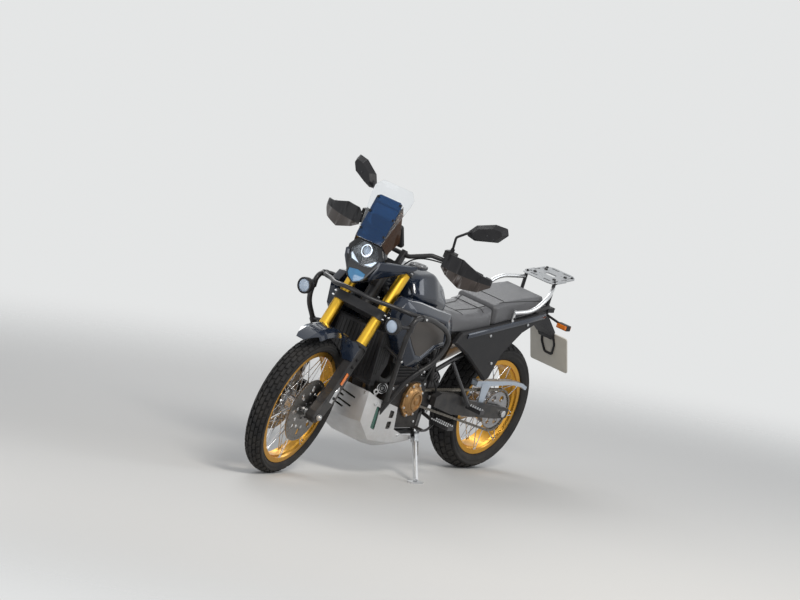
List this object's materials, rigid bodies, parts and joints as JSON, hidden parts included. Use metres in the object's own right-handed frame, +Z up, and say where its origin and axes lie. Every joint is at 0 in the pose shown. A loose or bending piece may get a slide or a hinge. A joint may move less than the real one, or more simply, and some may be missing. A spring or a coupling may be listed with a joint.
{
  "type": "adventure motorcycle",
  "caption": "Adventure motorcycle leaning on its side stand, with spoked wheels, crash bars, tall screen, skid plate and rear carrier; steering, wheels and stand move.",
  "frame": {"origin": "middle of the bounding box at floor level", "axes": "+X forward along the bike, +Y to its left, +Z up; it leans 10 degrees to its left on its stand, with the steering turned 10 degrees left"},
  "size_m": [2.4021, 0.9202, 1.4918],
  "materials": {
    "frame_paint": "satin black paint",
    "swingarm_alloy": "satin dark paint",
    "bright_steel": "brushed",
    "cast_black": "cast, painted black",
    "dark_alloy": "anodised dark",
    "chain_steel": "oiled links",
    "pale_alloy": "brushed, pale blue-grey",
    "engine_black": "cast, satin black",
    "bronze_cover": "bronze, satin",
    "exhaust_steel": "brushed steel",
    "black_plastic": "moulded, fine grain",
    "blasted_alloy": "bead blasted",
    "gloss_grey": "dark grey metallic gloss",
    "gloss_black": "gloss black",
    "lamp_glass": "clear lens over black",
    "screen_tint": "tinted, clear",
    "seat_vinyl": "grained vinyl",
    "rack_alloy": "cast, silver",
    "red_lens": "clear red lens",
    "bar_paint": "satin black powder coat",
    "gold_anodised": "gold anodised",
    "grip_rubber": "moulded",
    "tyre_rubber": "road worn",
    "gold_rim": "gold anodised",
    "disc_steel": "ground"
  },
  "bodies": {
    "chassis": {"frame": "frame_paint", "subframe": "frame_paint", "swingarm": "swingarm_alloy", "rear_axle": "bright_steel", "rear_caliper": "cast_black", "shock_absorber": "dark_alloy", "chain": "chain_steel", "chain_guard": "pale_alloy", "engine": "engine_black", "engine_covers": "bronze_cover", "exhaust": "exhaust_steel", "radiator": "black_plastic", "skid_plate": "blasted_alloy", "fuel_tank": "gloss_grey", "side_panels": "gloss_grey", "front_lamps": "lamp_glass", "nose_panels": "gloss_black", "windscreen": "screen_tint", "dash": "black_plastic", "seat": "seat_vinyl", "tail_panels": "black_plastic", "rear_rack": "rack_alloy", "plate_hanger": "black_plastic", "rear_lamps": "red_lens", "crash_bars": "bar_paint", "footrests": "bright_steel"},
    "steering": {"fork_tubes": "gold_anodised", "yokes": "dark_alloy", "fork_lowers": "cast_black", "front_axle": "bright_steel", "front_calipers": "cast_black", "front_mudguard": "black_plastic", "handlebar": "bar_paint", "hand_controls": "grip_rubber", "handguards": "black_plastic", "mirrors": "black_plastic"},
    "front_wheel": {"front_tyre": "tyre_rubber", "front_rim": "gold_rim", "front_hub": "cast_black", "front_discs": "disc_steel"},
    "rear_wheel": {"rear_tyre": "tyre_rubber", "rear_rim": "gold_rim", "rear_hub": "cast_black", "rear_disc_and_sprocket": "disc_steel"},
    "side_stand": {"side_stand": "bright_steel"}
  },
  "joints": [
    {"name": "steering", "type": "hinge", "parent": "chassis", "child": "steering", "pos_m": [0.7998, -0.14237, 0.30825], "axis": [-0.4525, 0.1547, 0.8782], "range_deg": [-48, 28]},
    {"name": "front_wheel_turn", "type": "hinge", "parent": "steering", "child": "front_wheel", "pos_m": [0.85952, -0.12546, 0.33604], "axis": [-0.1551, 0.9562, -0.2484], "continuous": true},
    {"name": "rear_wheel_turn", "type": "hinge", "parent": "chassis", "child": "rear_wheel", "pos_m": [-0.68958, -0.13909, 0.32939], "axis": [-0.0003, 0.9848, -0.1736], "continuous": true},
    {"name": "side_stand_fold", "type": "hinge", "parent": "chassis", "child": "side_stand", "pos_m": [0.01023, -0.01175, 0.21537], "axis": [0.0711, 0.833, 0.5487], "range_deg": [0, 116.4]}
  ]
}
